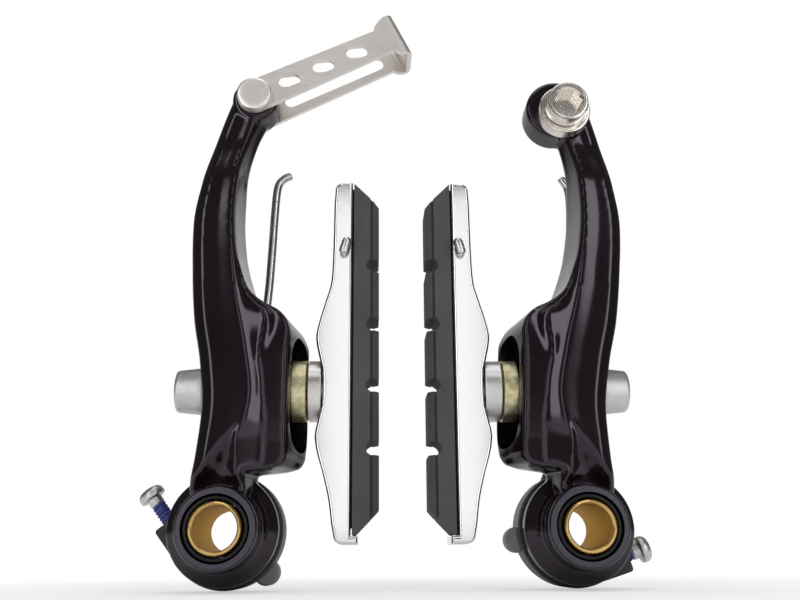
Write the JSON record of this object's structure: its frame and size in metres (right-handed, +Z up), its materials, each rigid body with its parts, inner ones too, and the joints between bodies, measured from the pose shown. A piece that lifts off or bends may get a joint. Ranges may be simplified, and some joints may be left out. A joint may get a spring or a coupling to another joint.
{
  "type": "linear-pull rim brake",
  "caption": "Pair of cable-pulled rim brake arms on parallel pivots, with clamped pads, return springs, a cable link and a cable anchor.",
  "frame": {"origin": "midway between the two pivot axes, in the plane of the boss shoulders that the pivot sleeves seat on", "axes": "+Z up the arms, +X to the right as the brake's front is looked at, +Y into the frame bosses"},
  "size_m": [0.1009, 0.0282, 0.1193],
  "materials": {
    "black_gloss": "glossy black paint",
    "black_plastic": "moulded",
    "liner_plastic": "smooth",
    "gold_zinc": "bright gold colour",
    "yellow_zinc": "yellow zinc plated",
    "spring_steel": "drawn wire",
    "bright_steel": "zinc plated",
    "satin_steel": "satin sheet",
    "polished_alloy": "polished",
    "rubber": "moulded"
  },
  "bodies": {
    "pivots": {"left_pivot_sleeve": "gold_zinc", "right_pivot_sleeve": "gold_zinc", "left_spring_case": "black_plastic", "right_spring_case": "black_plastic", "left_case_pin": "bright_steel", "right_case_pin": "bright_steel", "left_return_spring": "spring_steel", "right_return_spring": "spring_steel"},
    "left_lever": {"left_arm": "black_gloss", "left_arm_bush": "liner_plastic", "left_spring_peg": "bright_steel", "link_rivet": "bright_steel"},
    "right_lever": {"right_arm": "black_gloss", "right_arm_bush": "liner_plastic", "right_spring_peg": "bright_steel"},
    "link": {"cable_link": "satin_steel"},
    "left_clamp": {"left_inner_dome_washer": "yellow_zinc", "left_inner_cup_washer": "bright_steel", "left_outer_dome_washer": "yellow_zinc", "left_outer_cup_washer": "bright_steel"},
    "left_shoe": {"left_pad_holder": "polished_alloy", "left_pad_insert": "rubber", "left_pad_pin": "satin_steel", "left_pad_post": "bright_steel", "left_pad_nut": "bright_steel"},
    "left_screw": {"left_tension_screw": "bright_steel"},
    "right_clamp": {"right_inner_dome_washer": "yellow_zinc", "right_inner_cup_washer": "bright_steel", "right_outer_dome_washer": "yellow_zinc", "right_outer_cup_washer": "bright_steel"},
    "right_shoe": {"right_pad_holder": "polished_alloy", "right_pad_insert": "rubber", "right_pad_pin": "satin_steel", "right_pad_post": "bright_steel", "right_pad_nut": "bright_steel"},
    "right_screw": {"right_tension_screw": "bright_steel"},
    "cable_anchor": {"anchor_washer": "bright_steel"},
    "anchor_screw": {"anchor_bolt": "bright_steel"}
  },
  "joints": [
    {"name": "left_arm_pivot", "type": "hinge", "parent": "pivots", "child": "left_lever", "pos_m": [-0.0339, 0, 0], "axis": [0, 1, 0], "range_deg": [-35, 1.5], "stiffness_Nm_per_rad": 0.4},
    {"name": "left_shoe_height", "type": "slide", "parent": "left_lever", "child": "left_clamp", "axis": [0, 0, 1], "range_m": [-0.0045, 0.0042]},
    {"name": "left_shoe_turn", "type": "hinge", "parent": "left_clamp", "child": "left_shoe", "pos_m": [-0.0339, -0.0098, 0.02685], "axis": [-1, 0, 0], "range_deg": [0, 90]},
    {"name": "left_screw_travel", "type": "slide", "parent": "pivots", "child": "left_screw", "axis": [0.6046, 0, -0.7965], "range_m": [0, 0.003]},
    {"name": "right_arm_pivot", "type": "hinge", "parent": "pivots", "child": "right_lever", "pos_m": [0.0339, 0, 0], "axis": [0, -1, 0], "range_deg": [-35, 1.5], "stiffness_Nm_per_rad": 0.4},
    {"name": "right_shoe_height", "type": "slide", "parent": "right_lever", "child": "right_clamp", "axis": [0.0523, 0, 0.9986], "range_m": [-0.0045, 0.0042]},
    {"name": "right_shoe_turn", "type": "hinge", "parent": "right_clamp", "child": "right_shoe", "pos_m": [0.03531, -0.0098, 0.02681], "axis": [-1, 0, 0], "range_deg": [0, 90]},
    {"name": "right_screw_travel", "type": "slide", "parent": "pivots", "child": "right_screw", "axis": [-0.9521, 0, -0.3057], "range_m": [-0.003, 0]},
    {"name": "link_pivot", "type": "hinge", "parent": "left_lever", "child": "link", "pos_m": [-0.0305, -0.012, 0.0881], "axis": [0, 1, 0], "range_deg": [-60, 30]},
    {"name": "anchor_lift", "type": "slide", "parent": "right_lever", "child": "cable_anchor", "axis": [0, -1, 0], "range_m": [0, 0.002]},
    {"name": "anchor_turn", "type": "hinge", "parent": "cable_anchor", "child": "anchor_screw", "pos_m": [0.03433, -0.02, 0.08469], "axis": [0, -1, 0], "range_deg": [0, 720]}
  ],
  "couplings": [
    {"joint": "anchor_turn", "follows": "anchor_lift", "rad_per_m": 6283.2}
  ]
}
